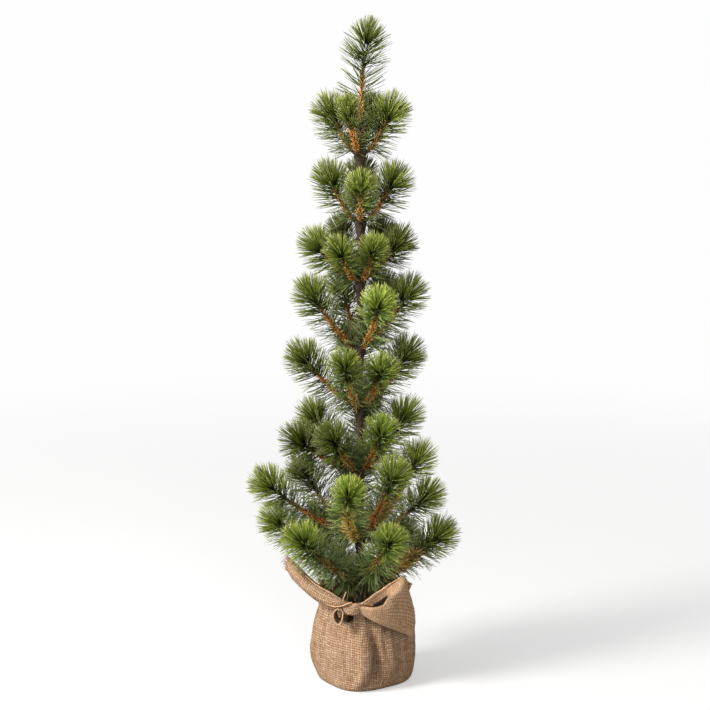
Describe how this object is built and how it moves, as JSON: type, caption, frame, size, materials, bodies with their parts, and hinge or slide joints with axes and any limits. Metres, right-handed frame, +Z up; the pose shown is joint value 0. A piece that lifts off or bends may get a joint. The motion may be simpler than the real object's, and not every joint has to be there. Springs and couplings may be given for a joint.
{
  "type": "artificial tabletop tree",
  "caption": "Artificial tabletop pine tree: bendable needle sprigs in whorls on a taped trunk, set in a weighted base wrapped in knotted burlap.",
  "frame": {"origin": "on the trunk's axis, at the underside of the sack where it rests on the table", "axes": "+Z up along the trunk, -Y towards the front, where the sack's knot is, +X to the right seen from the front"},
  "size_m": [0.2938, 0.2263, 0.9002],
  "materials": {
    "needles": "satin",
    "trunk_wrap": "matte",
    "tape": "matte",
    "rod": "satin",
    "cement": "matte",
    "cup": "satin",
    "burlap": "matte",
    "burlap_tie": "matte"
  },
  "bodies": {
    "base": {"trunk_rod": "rod", "trunk_wrap": "trunk_wrap", "whorl_tape_1": "tape", "whorl_tape_2": "tape", "whorl_tape_3": "tape", "whorl_tape_4": "tape", "whorl_tape_5": "tape", "whorl_tape_6": "tape", "whorl_tape_7": "tape", "whorl_tape_8": "tape", "cement_weight": "cement", "pot_cup": "cup", "burlap_sack": "burlap", "burlap_tie": "burlap_tie"},
    "w1_left": {"sprig_w1_left": "needles"},
    "w1_front": {"sprig_w1_front": "needles"},
    "w1_back": {"sprig_w1_back": "needles"},
    "w1_right": {"sprig_w1_right": "needles"},
    "w2_left": {"sprig_w2_left": "needles"},
    "w2_front": {"sprig_w2_front": "needles"},
    "w2_right": {"sprig_w2_right": "needles"},
    "w2_back": {"sprig_w2_back": "needles"},
    "w3_left": {"sprig_w3_left": "needles"},
    "w3_front_left": {"sprig_w3_front_left": "needles"},
    "w3_back_left": {"sprig_w3_back_left": "needles"},
    "w3_front_right": {"sprig_w3_front_right": "needles"},
    "w3_back_right": {"sprig_w3_back_right": "needles"},
    "w3_right": {"sprig_w3_right": "needles"},
    "w4_left": {"sprig_w4_left": "needles"},
    "w4_front": {"sprig_w4_front": "needles"},
    "w4_right": {"sprig_w4_right": "needles"},
    "w4_back_left": {"sprig_w4_back_left": "needles"},
    "w4_back_right": {"sprig_w4_back_right": "needles"},
    "w5_left": {"sprig_w5_left": "needles"},
    "w5_front_left": {"sprig_w5_front_left": "needles"},
    "w5_front_right": {"sprig_w5_front_right": "needles"},
    "w5_right": {"sprig_w5_right": "needles"},
    "w5_back": {"sprig_w5_back": "needles"},
    "w6_back_left": {"sprig_w6_back_left": "needles"},
    "w6_left": {"sprig_w6_left": "needles"},
    "w6_front_left": {"sprig_w6_front_left": "needles"},
    "w6_front_right": {"sprig_w6_front_right": "needles"},
    "w6_right": {"sprig_w6_right": "needles"},
    "w6_back": {"sprig_w6_back": "needles"},
    "w7_left": {"sprig_w7_left": "needles"},
    "w7_back_left": {"sprig_w7_back_left": "needles"},
    "w7_front": {"sprig_w7_front": "needles"},
    "w7_front_right": {"sprig_w7_front_right": "needles"},
    "w7_right": {"sprig_w7_right": "needles"},
    "w7_back_right": {"sprig_w7_back_right": "needles"},
    "w7_back": {"sprig_w7_back": "needles"},
    "w8_left": {"sprig_w8_left": "needles"},
    "w8_front_left": {"sprig_w8_front_left": "needles"},
    "w8_front_right": {"sprig_w8_front_right": "needles"},
    "w8_right": {"sprig_w8_right": "needles"},
    "w8_back_left": {"sprig_w8_back_left": "needles"},
    "w8_back_right": {"sprig_w8_back_right": "needles"},
    "leader": {"leader_sprig": "needles"}
  },
  "joints": [
    {"name": "bend_w1_left", "type": "hinge", "parent": "base", "child": "w1_left", "pos_m": [-0.00782, 0.0011, 0.7208], "axis": [0.1392, 0.9903, 0], "range_deg": [-24, 11]},
    {"name": "bend_w1_front", "type": "hinge", "parent": "base", "child": "w1_front", "pos_m": [-0.00296, -0.00732, 0.7188], "axis": [-0.9272, 0.3746, 0], "range_deg": [-24, 11]},
    {"name": "bend_w1_back", "type": "hinge", "parent": "base", "child": "w1_back", "pos_m": [0.00296, 0.00732, 0.7208], "axis": [0.9272, -0.3746, 0], "range_deg": [-24, 11]},
    {"name": "bend_w1_right", "type": "hinge", "parent": "base", "child": "w1_right", "pos_m": [0.00778, -0.00137, 0.7208], "axis": [-0.1736, -0.9848, 0], "range_deg": [-24, 11]},
    {"name": "bend_w2_left", "type": "hinge", "parent": "base", "child": "w2_left", "pos_m": [-0.00787, -0.00069, 0.6305], "axis": [-0.0872, 0.9962, 0], "range_deg": [-24, 13]},
    {"name": "bend_w2_front", "type": "hinge", "parent": "base", "child": "w2_front", "pos_m": [0.00014, -0.0079, 0.6285], "axis": [-0.9998, -0.0175, 0], "range_deg": [-24, 13]},
    {"name": "bend_w2_right", "type": "hinge", "parent": "base", "child": "w2_right", "pos_m": [0.00787, -0.00069, 0.6305], "axis": [-0.0872, -0.9962, 0], "range_deg": [-24, 13]},
    {"name": "bend_w2_back", "type": "hinge", "parent": "base", "child": "w2_back", "pos_m": [0.00041, 0.00789, 0.6305], "axis": [0.9986, -0.0523, 0], "range_deg": [-24, 13]},
    {"name": "bend_w3_left", "type": "hinge", "parent": "base", "child": "w3_left", "pos_m": [-0.00784, 0.00096, 0.5534], "axis": [0.1219, 0.9925, 0], "range_deg": [-24, 13]},
    {"name": "bend_w3_front_left", "type": "hinge", "parent": "base", "child": "w3_front_left", "pos_m": [-0.0043, -0.00662, 0.5494], "axis": [-0.8387, 0.5446, 0], "range_deg": [-24, 13]},
    {"name": "bend_w3_back_left", "type": "hinge", "parent": "base", "child": "w3_back_left", "pos_m": [-0.00395, 0.00684, 0.5514], "axis": [0.866, 0.5, 0], "range_deg": [-24, 13]},
    {"name": "bend_w3_front_right", "type": "hinge", "parent": "base", "child": "w3_front_right", "pos_m": [0.00283, -0.00737, 0.5494], "axis": [-0.9336, -0.3584, 0], "range_deg": [-24, 13]},
    {"name": "bend_w3_back_right", "type": "hinge", "parent": "base", "child": "w3_back_right", "pos_m": [0.0043, 0.00662, 0.5514], "axis": [0.8387, -0.5446, 0], "range_deg": [-24, 13]},
    {"name": "bend_w3_right", "type": "hinge", "parent": "base", "child": "w3_right", "pos_m": [0.00789, -0.00028, 0.5534], "axis": [-0.0349, -0.9994, 0], "range_deg": [-24, 13]},
    {"name": "bend_w4_left", "type": "hinge", "parent": "base", "child": "w4_left", "pos_m": [-0.00775, -0.00151, 0.4607], "axis": [-0.1908, 0.9816, 0], "range_deg": [-24, 12]},
    {"name": "bend_w4_front", "type": "hinge", "parent": "base", "child": "w4_front", "pos_m": [0.00321, -0.00722, 0.4577], "axis": [-0.9135, -0.4067, 0], "range_deg": [-24, 13]},
    {"name": "bend_w4_right", "type": "hinge", "parent": "base", "child": "w4_right", "pos_m": [0.00789, 0.00041, 0.4627], "axis": [0.0523, -0.9986, 0], "range_deg": [-24, 13]},
    {"name": "bend_w4_back_left", "type": "hinge", "parent": "base", "child": "w4_back_left", "pos_m": [-0.00296, 0.00732, 0.4607], "axis": [0.9272, 0.3746, 0], "range_deg": [-23, 13]},
    {"name": "bend_w4_back_right", "type": "hinge", "parent": "base", "child": "w4_back_right", "pos_m": [0.00407, 0.00677, 0.4607], "axis": [0.8572, -0.515, 0], "range_deg": [-24, 13]},
    {"name": "bend_w5_left", "type": "hinge", "parent": "base", "child": "w5_left", "pos_m": [-0.0079, 0, 0.3818], "axis": [0, 1, 0], "range_deg": [-24, 13]},
    {"name": "bend_w5_front_left", "type": "hinge", "parent": "base", "child": "w5_front_left", "pos_m": [-0.00244, -0.00751, 0.3758], "axis": [-0.9511, 0.309, 0], "range_deg": [-24, 13]},
    {"name": "bend_w5_front_right", "type": "hinge", "parent": "base", "child": "w5_front_right", "pos_m": [0.00359, -0.00704, 0.3808], "axis": [-0.891, -0.454, 0], "range_deg": [-24, 13]},
    {"name": "bend_w5_right", "type": "hinge", "parent": "base", "child": "w5_right", "pos_m": [0.00763, 0.00204, 0.3788], "axis": [0.2588, -0.9659, 0], "range_deg": [-24, 13]},
    {"name": "bend_w5_back", "type": "hinge", "parent": "base", "child": "w5_back", "pos_m": [-0.0011, 0.00782, 0.3788], "axis": [0.9903, 0.1392, 0], "range_deg": [-24, 13]},
    {"name": "bend_w6_back_left", "type": "hinge", "parent": "base", "child": "w6_back_left", "pos_m": [-0.00655, 0.00442, 0.2958], "axis": [0.5592, 0.829, 0], "range_deg": [-24, 13]},
    {"name": "bend_w6_left", "type": "hinge", "parent": "base", "child": "w6_left", "pos_m": [-0.00766, -0.00191, 0.2878], "axis": [-0.2419, 0.9703, 0], "range_deg": [-22, 13]},
    {"name": "bend_w6_front_left", "type": "hinge", "parent": "base", "child": "w6_front_left", "pos_m": [-0.00395, -0.00684, 0.2918], "axis": [-0.866, 0.5, 0], "range_deg": [-24, 13]},
    {"name": "bend_w6_front_right", "type": "hinge", "parent": "base", "child": "w6_front_right", "pos_m": [0.00395, -0.00684, 0.2918], "axis": [-0.866, -0.5, 0], "range_deg": [-11, 13]},
    {"name": "bend_w6_right", "type": "hinge", "parent": "base", "child": "w6_right", "pos_m": [0.00722, 0.00321, 0.2918], "axis": [0.4067, -0.9135, 0], "range_deg": [-24, 13]},
    {"name": "bend_w6_back", "type": "hinge", "parent": "base", "child": "w6_back", "pos_m": [0.00083, 0.00786, 0.2918], "axis": [0.9945, -0.1045, 0], "range_deg": [-23, 13]},
    {"name": "bend_w7_left", "type": "hinge", "parent": "base", "child": "w7_left", "pos_m": [-0.0078, -0.00124, 0.1991], "axis": [-0.1564, 0.9877, 0], "range_deg": [-24, 11]},
    {"name": "bend_w7_back_left", "type": "hinge", "parent": "base", "child": "w7_back_left", "pos_m": [-0.00631, 0.00475, 0.1971], "axis": [0.6018, 0.7986, 0], "range_deg": [-24, 13]},
    {"name": "bend_w7_front", "type": "hinge", "parent": "base", "child": "w7_front", "pos_m": [-0.00124, -0.0078, 0.1941], "axis": [-0.9877, 0.1564, 0], "range_deg": [-24, 13]},
    {"name": "bend_w7_front_right", "type": "hinge", "parent": "base", "child": "w7_front_right", "pos_m": [0.00395, -0.00684, 0.2001], "axis": [-0.866, -0.5, 0], "range_deg": [-18, 6]},
    {"name": "bend_w7_right", "type": "hinge", "parent": "base", "child": "w7_right", "pos_m": [0.00782, -0.0011, 0.2031], "axis": [-0.1392, -0.9903, 0], "range_deg": [-24, 13]},
    {"name": "bend_w7_back_right", "type": "hinge", "parent": "base", "child": "w7_back_right", "pos_m": [0.00691, 0.00383, 0.1891], "axis": [0.4848, -0.8746, 0], "range_deg": [-24, 13]},
    {"name": "bend_w7_back", "type": "hinge", "parent": "base", "child": "w7_back", "pos_m": [-0.00028, 0.00789, 0.1971], "axis": [0.9994, 0.0349, 0], "range_deg": [-24, 13]},
    {"name": "bend_w8_left", "type": "hinge", "parent": "base", "child": "w8_left", "pos_m": [-0.00766, 0.00191, 0.1439], "axis": [0.2419, 0.9703, 0], "range_deg": [-24, 13]},
    {"name": "bend_w8_front_left", "type": "hinge", "parent": "base", "child": "w8_front_left", "pos_m": [-0.00587, -0.00529, 0.1369], "axis": [-0.6691, 0.7431, 0], "range_deg": [-17, 13]},
    {"name": "bend_w8_front_right", "type": "hinge", "parent": "base", "child": "w8_front_right", "pos_m": [0.00346, -0.0071, 0.1429], "axis": [-0.8988, -0.4384, 0], "range_deg": [-24, 13]},
    {"name": "bend_w8_right", "type": "hinge", "parent": "base", "child": "w8_right", "pos_m": [0.00786, -0.00083, 0.1359], "axis": [-0.1045, -0.9945, 0], "range_deg": [-24, 13]},
    {"name": "bend_w8_back_left", "type": "hinge", "parent": "base", "child": "w8_back_left", "pos_m": [-0.0043, 0.00662, 0.1409], "axis": [0.8387, 0.5446, 0], "range_deg": [-24, 13]},
    {"name": "bend_w8_back_right", "type": "hinge", "parent": "base", "child": "w8_back_right", "pos_m": [0.00486, 0.00622, 0.1409], "axis": [0.788, -0.6157, 0], "range_deg": [-24, 13]},
    {"name": "bend_leader", "type": "hinge", "parent": "base", "child": "leader", "pos_m": [0, 0, 0.733], "axis": [0, -1, 0], "range_deg": [-12, 12]}
  ]
}
